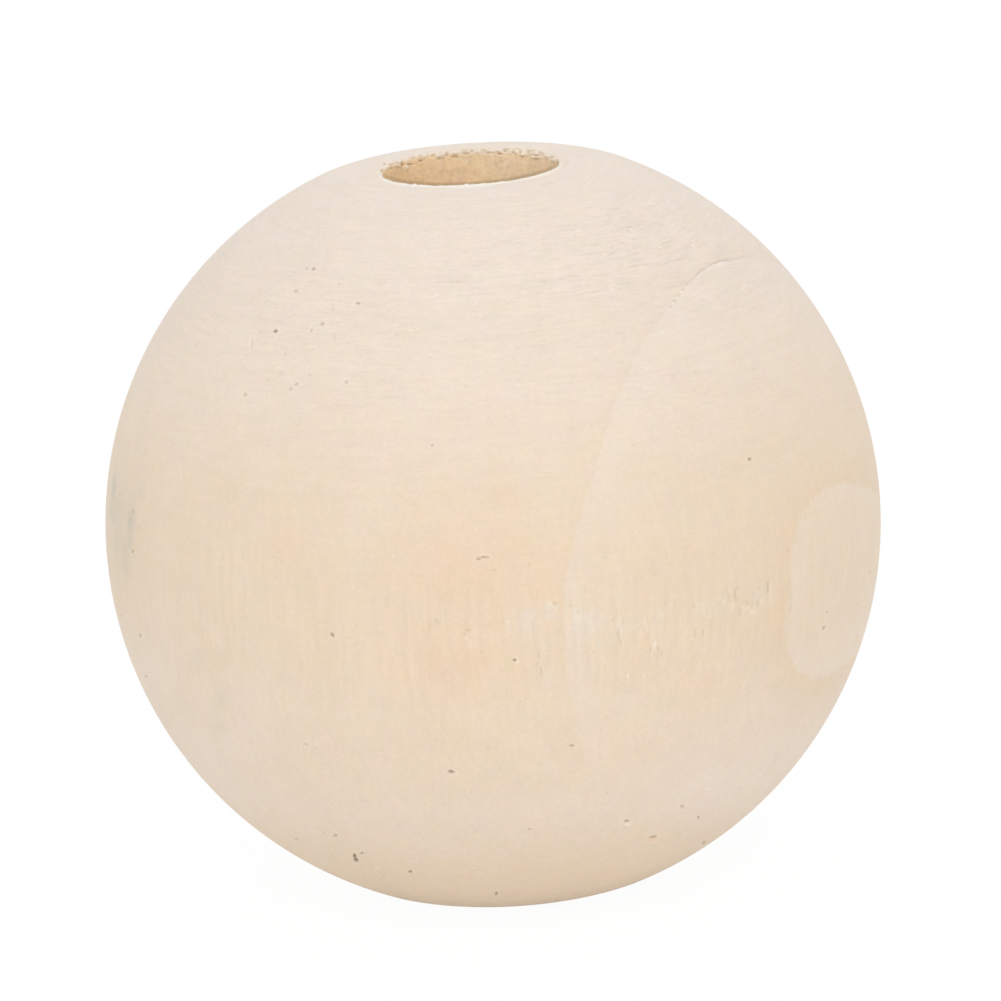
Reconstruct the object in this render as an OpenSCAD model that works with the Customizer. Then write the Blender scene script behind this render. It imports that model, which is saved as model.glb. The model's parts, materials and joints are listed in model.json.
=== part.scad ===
// Round wooden bead, turned in one piece, with a bore along Z.
// The origin is at the middle of the lower end face, so the bead stands on it. Lengths are in millimetres.

/* [Ball] */
// Diameter of the turned ball
ball_d = 20; // [14:0.5:40]
// Radius of the soft shoulder between the ball and each end face
shoulder_r = 3.75; // [0.5:0.25:5]
// Width of the flat ring on each end face, round the mouth of the bore
land_w = 0.3; // [0.2:0.05:2]

/* [Bore] */
// Diameter of the bore that takes the cord
bore_d = 4.5; // [2:0.1:8]
// Radius of the broken edge at each mouth of the bore
mouth_r = 0.15; // [0.05:0.05:0.5]

/* [Hidden] */
$fn = 180;
// How far cuts run past the face that they open
overrun = 0.5;
ball_r = ball_d / 2;
bore_r = bore_d / 2;
// Centre of a shoulder's arc, which touches the ball from inside and the end face from below
shoulder_x = bore_r + mouth_r + land_w;
shoulder_z = sqrt(pow(ball_r - shoulder_r, 2) - pow(shoulder_x, 2));
// Half the length between the end faces
end_z = shoulder_z + shoulder_r;
// Half the height of the belt that keeps the ball's own curve, up to where the shoulders meet it
belt_z = shoulder_z * ball_r / (ball_r - shoulder_r);

// Section of the ball with its end faces and shoulders, about its own middle
module ball_section() {
    intersection() {
        circle(r = ball_r);
        square([2 * (ball_r + overrun), 2 * belt_z], center = true);
    }
    translate([0, -end_z])
        square([shoulder_x, 2 * end_z]);
    for (side = [-1, 1])
        translate([shoulder_x, side * shoulder_z])
            circle(r = shoulder_r);
}

// What the bore takes out of that section, with all that lies across the axis
module bore_section() {
    translate([-ball_r - overrun, -ball_r - overrun])
        square([ball_r + overrun + bore_r, 2 * (ball_r + overrun)]);
}

// What the broken edge takes off the corner between the bore and the upper end face
module mouth_section() {
    translate([bore_r, end_z - mouth_r])
        difference() {
            translate([-overrun, 0])
                square([overrun + mouth_r, mouth_r + overrun]);
            translate([mouth_r, 0])
                circle(r = mouth_r);
        }
}

module bead() {
    color("#ecdccb")
        translate([0, 0, end_z])
            rotate_extrude()
                difference() {
                    ball_section();
                    bore_section();
                    mouth_section();
                    mirror([0, 1])
                        mouth_section();
                }
}

bead();
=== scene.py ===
import json
import math
import random

import bmesh
import bpy
from mathutils import Matrix, Vector, noise
from mathutils.kdtree import KDTree


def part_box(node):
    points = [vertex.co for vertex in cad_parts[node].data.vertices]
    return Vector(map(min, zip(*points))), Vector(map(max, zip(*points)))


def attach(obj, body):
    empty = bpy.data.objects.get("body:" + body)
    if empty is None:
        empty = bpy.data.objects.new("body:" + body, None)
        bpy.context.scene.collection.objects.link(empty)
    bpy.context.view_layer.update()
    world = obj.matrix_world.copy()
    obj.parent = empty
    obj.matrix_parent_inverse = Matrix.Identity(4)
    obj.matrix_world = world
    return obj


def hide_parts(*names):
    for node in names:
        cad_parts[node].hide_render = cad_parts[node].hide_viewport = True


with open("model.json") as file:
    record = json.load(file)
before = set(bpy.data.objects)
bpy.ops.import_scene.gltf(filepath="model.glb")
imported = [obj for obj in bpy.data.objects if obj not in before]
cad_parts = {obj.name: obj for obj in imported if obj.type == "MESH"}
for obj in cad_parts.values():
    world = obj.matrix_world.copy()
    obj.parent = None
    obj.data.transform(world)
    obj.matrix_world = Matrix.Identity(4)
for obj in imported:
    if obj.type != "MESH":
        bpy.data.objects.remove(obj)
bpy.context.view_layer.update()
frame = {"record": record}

scene = bpy.context.scene
mm = 0.001

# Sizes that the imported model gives, in metres
lowCorner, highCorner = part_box("bead")
mounts = {mount["name"]: mount for mount in frame["record"]["mounts"]}
ballRadius = (highCorner.x - lowCorner.x) / 2
beadHeight = highCorner.z
boreRadius = mounts["bore"]["dims"]["r_mm"] * mm
ballCentre = Vector((0, 0, beadHeight / 2))
print("bead", round(ballRadius / mm, 3), "mm radius,", round(beadHeight / mm, 3), "mm high")


def linear(hexColour, alpha=1.0):
    # sRGB hex to the linear colour that the shaders take
    channels = [int(hexColour[i:i + 2], 16) / 255 for i in (1, 3, 5)]
    return [c / 12.92 if c <= 0.04045 else ((c + 0.055) / 1.055) ** 2.4 for c in channels] + [alpha]


def addNode(tree, kind, inputs=None, output=0, **settings):
    # one node with its settings; an input is a value or the socket that feeds it; returns one of its outputs
    node = tree.nodes.new("ShaderNode" + kind)
    for name, value in settings.items():
        setattr(node, name, value)
    for key, value in (inputs or {}).items():
        if isinstance(value, bpy.types.NodeSocket):
            tree.links.new(value, node.inputs[key])
        else:
            node.inputs[key].default_value = value
    return node.outputs[output] if len(node.outputs) else None


def fade(value, start, end):
    # 0 at start, 1 at end, eased between them
    t = min(1.0, max(0.0, (value - start) / (end - start)))
    return t * t * (3 - 2 * t)


# Camera: a long lens from a little above, with the bore leaning to the left
view = {
    "imagePx": 1001,
    "ballCentrePx": (493.1, 522.1),
    "ballRadiusPx": 387.7,
    "elevation": math.radians(13.9),
    "lean": math.radians(3.67),
    "distance": 10 * 2 * ballRadius,
    "sensor": 36.0,
    "clipStart": 10 * mm,
}


def placeCamera():
    focalPx = view["ballRadiusPx"] * math.sqrt((view["distance"] / ballRadius) ** 2 - 1)
    e, lean = view["elevation"], view["lean"]
    back = Vector((0, -math.cos(e), math.sin(e)))
    level, rise = Vector((1, 0, 0)), Vector((0, math.sin(e), math.cos(e)))
    right = level * math.cos(lean) - rise * math.sin(lean)
    up = level * math.sin(lean) + rise * math.cos(lean)
    eye = ballCentre + back * view["distance"]
    # the ball's middle lies off the picture's middle, so the camera looks past it by as much
    offRight = view["ballCentrePx"][0] - view["imagePx"] / 2
    offUp = view["imagePx"] / 2 - view["ballCentrePx"][1]
    aim = ballCentre - (right * offRight + up * offUp) * view["distance"] / focalPx
    back = (eye - aim).normalized()
    right = up.cross(back).normalized()
    up = back.cross(right)
    data = bpy.data.cameras.new("photoCamera")
    data.sensor_width = view["sensor"]
    data.lens = view["sensor"] * focalPx / view["imagePx"]
    data.clip_start = view["clipStart"]
    camera = bpy.data.objects.new("photoCamera", data)
    camera.matrix_world = Matrix((right, up, back)).transposed().to_4x4()
    camera.location = eye
    scene.collection.objects.link(camera)
    scene.camera = camera
    return {"eye": eye, "right": right, "up": up, "back": back, "focalPx": focalPx}


camera = placeCamera()
pxSize = ballRadius / view["ballRadiusPx"]


def spotAt(px, py):
    # the place on the ball that a pixel of the picture shows
    half = view["imagePx"] / 2
    ray = camera["right"] * (px - half) + camera["up"] * (half - py) - camera["back"] * camera["focalPx"]
    ray.normalize()
    reach = camera["eye"] - ballCentre
    along = -ray.dot(reach)
    miss = reach + ray * along
    inside = max(0.0, ballRadius ** 2 - miss.length_squared)
    return camera["eye"] + ray * (along - math.sqrt(inside))


def pixelOf(place):
    # the pixel of the picture that shows a place
    ray = place - camera["eye"]
    scale = -camera["focalPx"] / ray.dot(camera["back"])
    half = view["imagePx"] / 2
    return half + scale * ray.dot(camera["right"]), half - scale * ray.dot(camera["up"])


print("camera", round(view["distance"] / mm), "mm away,", round(pxSize / mm, 4), "mm a pixel")

# The bead's section, and how finely it is turned
bead = {
    "shoulderRadius": 3.75 * mm,
    "mouthRadius": 0.15 * mm,
    "stepsRound": 160,
    "ballSteps": 42,        # from a shoulder to the equator
    "shoulderSteps": 8,
    "mouthSteps": 3,
    "landSteps": 4,
    "lipDepth": 0.35 * mm,  # the frayed part of the bore's wall
    "lipSteps": 4,
    "shownDepth": 1.35 * mm,  # what can be seen of the wall from the camera
    "shownSteps": 10,
    "deepSteps": 5,
    "weldReach": 0.0001 * mm,
}


def runStraight(bm, vert, end, steps):
    start, end = vert.co.copy(), Vector(end)
    for step in range(steps):
        vert = bmesh.ops.extrude_vert_indiv(bm, verts=[vert])["verts"][0]
        vert.co = start.lerp(end, (step + 1) / steps)
    return vert


def runArc(bm, vert, centre, angle, steps):
    made = bmesh.ops.spin(bm, geom=[vert], cent=centre, axis=(0, 1, 0), angle=angle, steps=steps)
    return next(v for v in made["geom_last"] if isinstance(v, bmesh.types.BMVert))


def turnBead():
    # half a section from the bore's wall to the equator, mirrored and spun round the bore
    bm = bmesh.new()
    middle = ballCentre.z
    mouth, shoulder = bead["mouthRadius"], bead["shoulderRadius"]
    wallTop = beadHeight - mouth
    shoulderRise = beadHeight - shoulder - middle
    shoulderReach = math.sqrt((ballRadius - shoulder) ** 2 - shoulderRise ** 2)
    tilt = math.atan2(shoulderReach, shoulderRise)
    vert = bm.verts.new((boreRadius, 0, middle))
    vert = runStraight(bm, vert, (boreRadius, 0, wallTop - bead["shownDepth"]), bead["deepSteps"])
    vert = runStraight(bm, vert, (boreRadius, 0, wallTop - bead["lipDepth"]), bead["shownSteps"])
    vert = runStraight(bm, vert, (boreRadius, 0, wallTop), bead["lipSteps"])
    vert = runArc(bm, vert, (boreRadius + mouth, 0, wallTop), math.pi / 2, bead["mouthSteps"])
    vert = runStraight(bm, vert, (shoulderReach, 0, beadHeight), bead["landSteps"])
    vert = runArc(bm, vert, (shoulderReach, 0, beadHeight - shoulder), tilt, bead["shoulderSteps"])
    runArc(bm, vert, (0, 0, middle), math.pi / 2 - tilt, bead["ballSteps"])
    bmesh.ops.mirror(bm, geom=bm.verts[:] + bm.edges[:], matrix=Matrix.Translation((0, 0, -middle)),
                     merge_dist=bead["weldReach"], axis="Z")
    bmesh.ops.spin(bm, geom=bm.verts[:] + bm.edges[:], cent=(0, 0, 0), axis=(0, 0, 1), angle=2 * math.pi,
                   steps=bead["stepsRound"], use_merge=True)
    bmesh.ops.remove_doubles(bm, verts=bm.verts[:], dist=bead["weldReach"])
    bmesh.ops.recalc_face_normals(bm, faces=bm.faces[:])
    return bm


bm = turnBead()
print("turned", len(bm.faces), "faces")

# Growth rings: layers across the grain, nearly flat, in millimetres from the ball's middle
rings = {
    "azimuth": math.radians(-28.7),
    "tilt": math.radians(-3.5),
    "bendUp": -0.0278,       # how the layers curve with height, each millimetre
    "bendAcross": -0.0128,
    "twist": 0.0061,
    "faint": [-8.7, -6.2, -3.6, -0.35],   # where the rings end that hardly show
    "arcLevel": 5.35,
    "layerSpread": 1.6,      # layers meet the ball at a slant, so they are wider apart on it
    "shownFrom": (0.05, 0.3),   # how squarely a place faces the camera where the picture starts to count
    "farOff": 4.0,
    # the two rings that show well, by points along them in the picture
    "arc": [
        (790, 264), (776, 260), (753, 257), (736, 259), (720, 261.5), (711, 265), (702, 270.5), (694, 278),
        (685, 288), (676, 299), (667, 310), (658, 322), (646, 337), (637, 352), (626, 379), (615, 406),
        (600, 455), (584, 505), (569, 560), (563, 610), (567, 670), (578, 735), (594, 780), (625, 828),
    ],
    "oval": [
        (863, 488), (844, 483.5), (825, 490), (812, 502), (802, 516), (797, 533), (794, 550), (793, 570),
        (791, 598), (787, 618), (786, 635), (789, 653), (798, 669), (812, 679), (831, 674), (849, 661),
    ],
    # and how the oval closes out of the picture, by bearing round the bore and latitude in degrees
    "ovalBehind": [(-12.5, -18.2), (-8, -14), (-5.5, -8.5), (-6, -3), (-9, 1.5), (-13.5, 4.4)],
    "softFrom": (5.0, 6.0),  # heights above the middle between which the arc becomes a soft step
    "sharpFrom": (6.8, 7.3), # and those between which it becomes a sharp one
    "softShare": 0.35,       # how much of the step is there where it is soft
    "stepHalfWidth": (0.045, 0.024),   # where it is soft and where it is sharp
    # painted shade in the step's groove, where it is soft and where it is sharp
    "stepShade": (0.13, 0.29),
    "stepDepth": 0.03,
    "stepReach": 0.4,
    "onBallShare": 0.99,
    "stepWander": 0.02,
    "wandersPerMm": 3.5,
    "breaksPerMm": 2.2,
    "breakOffset": Vector((7, 0, 0)),
    "unbroken": (0.6, 0.8),  # share of the step that its breaks leave on average
    "breakShare": 0.4,
    "grooveAt": -0.02,
    "lipAt": 0.04,
    "lipHalfWidth": 0.03,
    "lipHeightShare": 0.5,   # of the step's depth
    # painted highlight on the raised lip
    "lipHighlight": 0.85,
    "dotsPerMm": 9,          # the lip is broken into dots
    "dotRange": (-0.3, 0.35),
}
ringNormal = Vector((math.cos(rings["azimuth"]) * math.cos(rings["tilt"]),
                     math.sin(rings["azimuth"]) * math.cos(rings["tilt"]), math.sin(rings["tilt"])))
ringAcross = Vector((-math.sin(rings["azimuth"]), math.cos(rings["azimuth"]), 0))


def growthAt(place):
    # how far out in the tree a place on the bead grew
    p = (place - ballCentre) / mm
    across = p.dot(ringAcross)
    bend = rings["bendUp"] * p.z ** 2 + rings["bendAcross"] * across ** 2 + rings["twist"] * p.z * across
    return p.dot(ringNormal) + bend


def lineOffset(px, py, points):
    # distance from a line through points, more than 0 on its right side as a picture shows it
    nearest, side = math.inf, 1
    for (ax, ay), (bx, by) in zip(points, points[1:]):
        dx, dy = bx - ax, by - ay
        share = min(1.0, max(0.0, ((px - ax) * dx + (py - ay) * dy) / (dx * dx + dy * dy)))
        offX, offY = px - ax - share * dx, py - ay - share * dy
        gap = offX * offX + offY * offY
        if gap < nearest:
            nearest, side = gap, dy * offX - dx * offY
    return math.copysign(math.sqrt(nearest), side)


def unrolled(bearing, latitude):
    # millimetres round the bore and down the ball
    return bearing * ballRadius / mm, -latitude * ballRadius / mm


def unrolledPlace(place):
    p = (place - ballCentre) / ballRadius
    return unrolled(math.atan2(p.y, p.x), math.asin(max(-1.0, min(1.0, p.z))))


ovalLoop = [unrolledPlace(spotAt(*point)) for point in rings["oval"]]
ovalLoop += [unrolled(math.radians(bearing), math.radians(latitude))
             for bearing, latitude in rings["ovalBehind"]]
ovalLoop.append(ovalLoop[0])


def ringOffset(place, name):
    # millimetres inside a ring's edge: by its points where the picture shows it, and on the far side
    # by the layers for the arc and by its loop for the oval
    if name == "oval":
        behind = lineOffset(*unrolledPlace(place), ovalLoop)
    else:
        behind = rings["layerSpread"] * (growthAt(place) - rings["arcLevel"])
    facing = (place - ballCentre).normalized().dot(camera["back"])
    shown = fade(facing, *rings["shownFrom"])
    if shown == 0 or abs(behind) > rings["farOff"]:
        return behind
    return behind + shown * (lineOffset(*pixelOf(place), rings[name]) * pxSize / mm - behind)


# Open pores and small chips: place in the picture, half length, half width, turn in degrees, darkness
pores = {
    "upper": [
        (275, 330.7, 2.8, 2.3, 20, 0.54), (358, 303, 3.4, 1.7, 5, 0.33), (322, 323.6, 3.0, 2.4, 15, 0.25),
        (311.2, 330.4, 2.6, 1.4, 80, 0.27), (295.8, 290.8, 3.0, 2.2, 0, 0.2),
        (338.8, 284, 2.2, 1.9, 0, 0.13), (313.2, 268.3, 3.0, 2.1, 20, 0.34), (307, 268, 2.0, 1.6, 90, 0.22),
        (346.2, 382, 2.6, 2.2, 90, 0.2), (432, 445, 2.2, 1.9, 45, 0.22), (244.8, 394.5, 2.9, 2.6, 90, 0.19),
        (296, 383.8, 2.9, 2.0, 40, 0.23), (290.5, 388.6, 2.6, 2.1, 60, 0.18),
        (750, 459, 2.6, 2.0, 50, 0.39), (634, 445, 2.2, 1.2, 80, 0.13), (664, 202, 1.6, 1.1, 45, 0.12),
    ],
    "belt": [
        (332, 635, 3.6, 2.0, 125, 0.39), (478.6, 558.8, 3.6, 1.6, 18, 0.34),
        (483.4, 557.2, 4.2, 1.6, 4, 0.36), (487.4, 557.4, 2.6, 1.4, 172, 0.3),
        (495, 570, 2.3, 1.2, 8, 0.16), (514.6, 660.3, 2.5, 1.9, 20, 0.46), (140, 635.5, 3.0, 1.9, 95, 0.23),
        (146, 676.5, 2.1, 1.5, 20, 0.21), (121.3, 615, 1.3, 1.0, 0, 0.16),
        (132.8, 551.6, 2.5, 1.7, 80, 0.25), (132.6, 511.2, 3.4, 1.6, 85, 0.2),
        (824, 628, 3.6, 1.7, 50, 0.29), (827, 612, 2.0, 1.5, 45, 0.2), (870, 573, 1.6, 1.3, 45, 0.18),
        (857, 603, 1.4, 1.2, 45, 0.14), (520, 702, 1.9, 1.2, 72, 0.14), (552, 717, 1.5, 1.3, 90, 0.13),
    ],
    "low": [
        (451, 772, 4.5, 2.1, 168, 0.45), (305.8, 744.8, 3.4, 2.0, 165, 0.16),
        (315.6, 748.8, 3.2, 1.3, 140, 0.13), (354.5, 857, 4.2, 2.2, 100, 0.62),
        (355.8, 860.6, 3.2, 2.6, 160, 0.65), (324, 832.5, 1.6, 1.2, 20, 0.14),
        (361.8, 853.3, 2.8, 1.5, 0, 0.38), (365.4, 853.6, 1.8, 1.1, 0, 0.2), (410, 872, 2.8, 1.8, 9, 0.50),
        (496.3, 894, 2.5, 2.0, 90, 0.38), (335, 836, 3.2, 1.7, 20, 0.29), (296, 839, 2.7, 1.2, 4, 0.24),
        (572, 746, 3.2, 1.8, 175, 0.30), (682.1, 806.8, 2.1, 1.8, 90, 0.3),
        (682.5, 813.2, 1.7, 1.3, 90, 0.14), (698.5, 817.9, 2.5, 1.8, 90, 0.3),
        (626.7, 821.3, 3.4, 1.7, 3, 0.4), (653.3, 837.2, 4.9, 2.0, 8, 0.31), (680, 833, 1.2, 1.0, 0, 0.12),
        (703.8, 843, 2.4, 1.8, 20, 0.32), (529.4, 829.4, 2.4, 1.6, 20, 0.25),
        (607, 792.8, 1.7, 1.5, 90, 0.18),
    ],
}
poreSpec = {
    "sizeShare": 0.85,       # of the halves above
    "halo": 0.15,
    "fullFrom": 0.4,         # darkness from which a pore has its full depth and halo
    "darkGain": 1.15,
    "darkest": 0.9,
    "seed": 11,
    "hiddenCount": 46,
    "hiddenHalf": (0.04 * mm, 0.09 * mm),
    "hiddenStretch": (1, 1.8),
    "hiddenDark": (0.15, 0.6),
    "hiddenDepthShare": 0.8,
    "hiddenHeightShare": 0.85,
    "hiddenBehindShare": 0.05,   # how far behind the ball's middle they start
}

# Torn grain just below the equator: short nicks along the fibres and fibres that stand up beside them,
# painted pale as highlight.
# Each has its place in the picture, half width, half height and strength
nicks = {
    "dark": [
        (619, 634, 1.1, 6, 0.8), (664.5, 604.5, 1, 2.5, 0.7), (688, 582.5, 1, 3, 0.7),
        (694, 606, 1.1, 4.5, 0.8), (696, 634, 1.0, 7, 1.0), (702.6, 632, 1.0, 4, 0.9),
        (735, 594, 1.1, 6, 1.0), (738, 587.6, 1, 3.2, 0.9), (729, 598, 1, 4, 0.7),
        (757.6, 603, 1.1, 5, 0.8), (759, 588.4, 1.2, 2, 0.9), (768, 587, 1.3, 7, 1.2),
        (650.6, 648.5, 1, 4, 0.8), (658.8, 648.5, 1, 4, 0.8), (630.2, 676.5, 0.9, 2.5, 0.8),
        (790, 610, 0.9, 4.5, 0.8), (788, 550, 1, 5, 0.7), (468, 630, 2.2, 1.5, 0.8),
        (437, 622, 1.5, 5, 0.5), (530, 565, 1.2, 3, 0.7), (538, 664, 1.1, 2.2, 0.9),
        (532, 624, 1.5, 2, 0.5), (554, 603.5, 2.6, 2.6, 0.6), (571, 606, 1.4, 2, 0.6),
        (605, 558, 1.8, 1.1, 0.8), (727, 590, 1, 4, 0.6), (655, 574, 1, 3, 0.5), (538.5, 655, 1, 4.5, 0.8),
        (541, 671, 1, 4.5, 0.8), (620.5, 643, 1, 5, 0.8), (653.5, 619, 1, 7, 0.6), (661, 653, 1, 4, 0.8),
        (578, 612, 2, 1.4, 0.7), (597, 617, 1.2, 1.5, 0.6), (613, 619.5, 1.4, 1.4, 0.6),
        (505, 619, 5, 1.4, 0.4), (435.5, 621, 1.4, 3.5, 0.6), (532, 553, 1.5, 1.1, 0.6),
        (683, 289.5, 1.6, 1.2, 1.0), (678.5, 294.9, 1.9, 1.4, 0.8), (674.5, 300.7, 1.5, 1.2, 1.0),
        (671, 306.5, 2.2, 1.6, 0.7), (661, 314.5, 1.6, 1.6, 0.6), (702, 299.5, 2.2, 1.3, 0.6),
        (735, 306.5, 5, 1.2, 0.4), (628, 231, 4, 1.1, 0.6), (634, 239, 1.5, 1.5, 0.6),
        (575, 236, 3, 1.1, 0.5), (450, 281.8, 22, 0.9, 0.6), (252, 344, 1.1, 4.5, 0.9),
        (334.4, 337, 1.1, 4.5, 0.7), (466, 386.8, 2.2, 1.6, 0.4), (139, 527.5, 1.2, 1.2, 0.8),
        (226, 492, 1.3, 0.9, 0.5), (332.5, 307, 1.8, 4.5, 0.5), (285, 354, 1.8, 3.6, 0.5),
        (281, 372.5, 3.2, 2.6, 0.5), (267.5, 379.5, 2.4, 2, 0.45), (310, 375, 2, 2, 0.55),
        (429.5, 357.5, 1.5, 1.2, 0.6), (418.8, 393, 1.5, 1.3, 0.5), (740, 612, 1, 6, 0.7),
        (747, 603, 1, 4, 0.6), (753, 604, 1, 4, 0.5), (471, 792.5, 2, 1.3, 0.5), (702, 792, 2.5, 1, 0.5),
        (384, 875.5, 2.5, 1.2, 0.5),
    ],
    # fibres that stand up: their pale colour is painted highlight
    "pale": [
        (724.6, 601.6, 1.2, 4, 0.7), (743.7, 609, 1.3, 3.5, 0.7), (748.3, 607.5, 1.1, 3, 0.6),
        (655, 645.5, 1.3, 4.5, 0.8), (627.9, 677, 1.2, 3.2, 0.8), (550.6, 603.3, 1.5, 3, 0.7),
        (466, 638, 2, 1.2, 0.7), (542.5, 669.5, 1, 3, 0.5), (517.6, 662.4, 1.5, 1.4, 1.1),
        (543, 648, 1, 5, 0.6), (716, 309, 1.6, 2, 0.4), (627, 824.5, 3.2, 1.5, 1.1),
        (482, 554.3, 4, 0.9, 0.5), (580, 618, 4, 1.2, 0.4), (589, 595, 1, 4, 0.5),
        (686.3, 286.4, 2.4, 1.6, 0.8), (682, 292.2, 2.0, 1.8, 1.0), (677.6, 297.9, 2.6, 1.6, 0.9),
        (673.6, 303.7, 2, 1.6, 0.7), (763, 291.5, 1.8, 1.4, 0.8), (715, 347, 6, 1, 0.4),
        (577, 231, 4, 1.2, 0.7), (631, 234.5, 4, 1.1, 0.7), (301, 745.5, 1.2, 3, 0.5),
        (316.5, 744.3, 1.6, 2, 0.6), (308, 741, 4, 1, 0.35), (653.5, 842, 3.5, 1.5, 0.4),
        (249.5, 342, 1.1, 3.5, 0.9), (431.8, 354.4, 1.7, 1.8, 0.7), (733, 606, 1.2, 5, 0.7),
        (752, 612, 1.2, 4, 0.6), (707, 789, 3, 1.2, 0.5), (378, 868.5, 3, 1, 0.5), (229, 520, 1, 4, 0.5),
        (225, 489.6, 1.6, 1.2, 0.6), (181, 473, 1.3, 2, 0.5),
    ],
    # strokes of the tool near the top: place, half length, half width, turn in degrees, strength, tone
    "strokes": [
        (665.5, 243.5, 9, 1.0, 20, 0.4, "dark"), (664, 240.8, 8, 1.0, 20, 0.2, "pale"),
        (680, 258.8, 13, 1.0, 15, 0.6, "dark"), (641, 265, 19, 1.0, 8, 0.5, "dark"),
        (575, 276, 10, 0.9, 2, 0.5, "dark"), (672, 287, 14, 1.0, 5, 0.5, "dark"),
        (629, 227, 6, 0.9, 5, 0.6, "dark"), (571, 235.5, 11, 1.1, 2, 0.7, "pale"),
        (650, 204, 7, 1.0, 6, 0.6, "pale"), (630, 241, 9, 1.2, 2, 0.5, "pale"),
        (600, 252, 12, 0.9, 6, 0.4, "dark"), (590, 222, 9, 0.9, 3, 0.4, "pale"),
        (690, 244, 10, 0.9, 22, 0.5, "dark"), (615, 209, 10, 0.9, 4, 0.4, "dark"),
    ],
    # the ragged upper edge of the torn grain, from right to left
    "edge": [
        (790, 572), (768, 582), (735, 588), (700, 600), (662, 606), (640, 612), (612, 617), (590, 613),
        (575, 606), (556, 603), (545, 602), (520, 612), (500, 619), (470, 630), (440, 622), (415, 632),
    ],
    "line": [(415, 632), (470, 622), (530, 612), (600, 628), (660, 624), (720, 606), (790, 570)],
    "spreadPx": 20,
    "count": 70,
    "halfLong": (0.06 * mm, 0.20 * mm),
    "halfWide": (0.022 * mm, 0.036 * mm),
    "strength": (0.15, 0.45),
    "depth": 0.018 * mm,
    "darkness": 0.21,
    "paleness": 0.62,
    "nickShares": {"dark": 1.0, "pale": -0.6},      # of the depth: a pale mark stands up
    "strokeShares": {"dark": 0.5, "pale": -0.4},
    "upright": 90,
    "lean": 6,
    "paleEvery": 3,
    "seed": 5,
    "hiddenArcs": [(40, 95), (140, 176)],   # degrees round the bore, out of the picture
    "hiddenCount": 26,
    "hiddenStrength": (0.4, 1.0),
    "hiddenHeight": (-0.8, 0.45),   # millimetres from the equator: middle and spread
}


def makeMark(spot, longAxis, wideAxis, **facts):
    # the slopes give a place's share of each half axis, also where these aren't square to each other
    longSquare, wideSquare, both = longAxis.length_squared, wideAxis.length_squared, longAxis.dot(wideAxis)
    area = longSquare * wideSquare - both * both
    return {"spot": spot, "halfLong": longAxis.length, "halfWide": wideAxis.length,
            "reach": max(longAxis.length, wideAxis.length),
            "slopeLong": (longAxis * wideSquare - wideAxis * both) / area,
            "slopeWide": (wideAxis * longSquare - longAxis * both) / area, "halo": 0.0, **facts}


def markFromPicture(px, py, halfLong, halfWide, turn, **facts):
    # a mark whose half axes are what its pixels cover on the ball
    spot = spotAt(px, py)
    c, s = math.cos(math.radians(turn)), math.sin(math.radians(turn))
    longAxis = spotAt(px + c * halfLong, py - s * halfLong) - spot
    wideAxis = spotAt(px + s * halfWide, py + c * halfWide) - spot
    return makeMark(spot, longAxis, wideAxis, **facts)


def markOnBall(azimuth, height, halfLong, halfWide, **facts):
    # a mark at a bearing round the bore and a height from the middle, with its length up the ball
    ring = math.sqrt(ballRadius ** 2 - height ** 2)
    out = Vector((ring * math.cos(azimuth), ring * math.sin(azimuth), height))
    level = Vector((-math.sin(azimuth), math.cos(azimuth), 0))
    return makeMark(ballCentre + out, out.cross(level).normalized() * halfLong, level * halfWide, **facts)


def alongLine(points, share):
    # a place on a line through points, by share of the way
    at = share * (len(points) - 1)
    i = min(int(at), len(points) - 2)
    return Vector(points[i]).lerp(Vector(points[i + 1]), at - i)


def poreMarks():
    shown, hidden = [], []
    size = poreSpec["sizeShare"]
    for px, py, halfLong, halfWide, turn, darkness in sum(pores.values(), []):
        weight = min(1.0, darkness / poreSpec["fullFrom"])
        dark = min(poreSpec["darkest"], poreSpec["darkGain"] * darkness)
        shown.append(markFromPicture(px, py, size * halfLong, size * halfWide, turn, dark=dark, pale=0,
                                     depth=weight * halfWide * pxSize, halo=weight * poreSpec["halo"]))
    draw = random.Random(poreSpec["seed"])
    highest = poreSpec["hiddenHeightShare"]
    while len(hidden) < poreSpec["hiddenCount"]:
        azimuth, height = draw.uniform(0, 2 * math.pi), draw.uniform(-highest, highest) * ballRadius
        half, darkness = draw.uniform(*poreSpec["hiddenHalf"]), draw.uniform(*poreSpec["hiddenDark"])
        mark = markOnBall(azimuth, height, half * draw.uniform(*poreSpec["hiddenStretch"]), half,
                          depth=half * poreSpec["hiddenDepthShare"], dark=darkness, pale=0)
        if (mark["spot"] - ballCentre).dot(camera["back"]) < -poreSpec["hiddenBehindShare"] * ballRadius:
            hidden.append(mark)
    return shown, hidden


def tornFacts(strength, tone, depthShares):
    return {"depth": depthShares[tone] * nicks["depth"] * strength,
            "dark": nicks["darkness"] * strength if tone == "dark" else 0,
            "pale": nicks["paleness"] * strength if tone == "pale" else 0}


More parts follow.
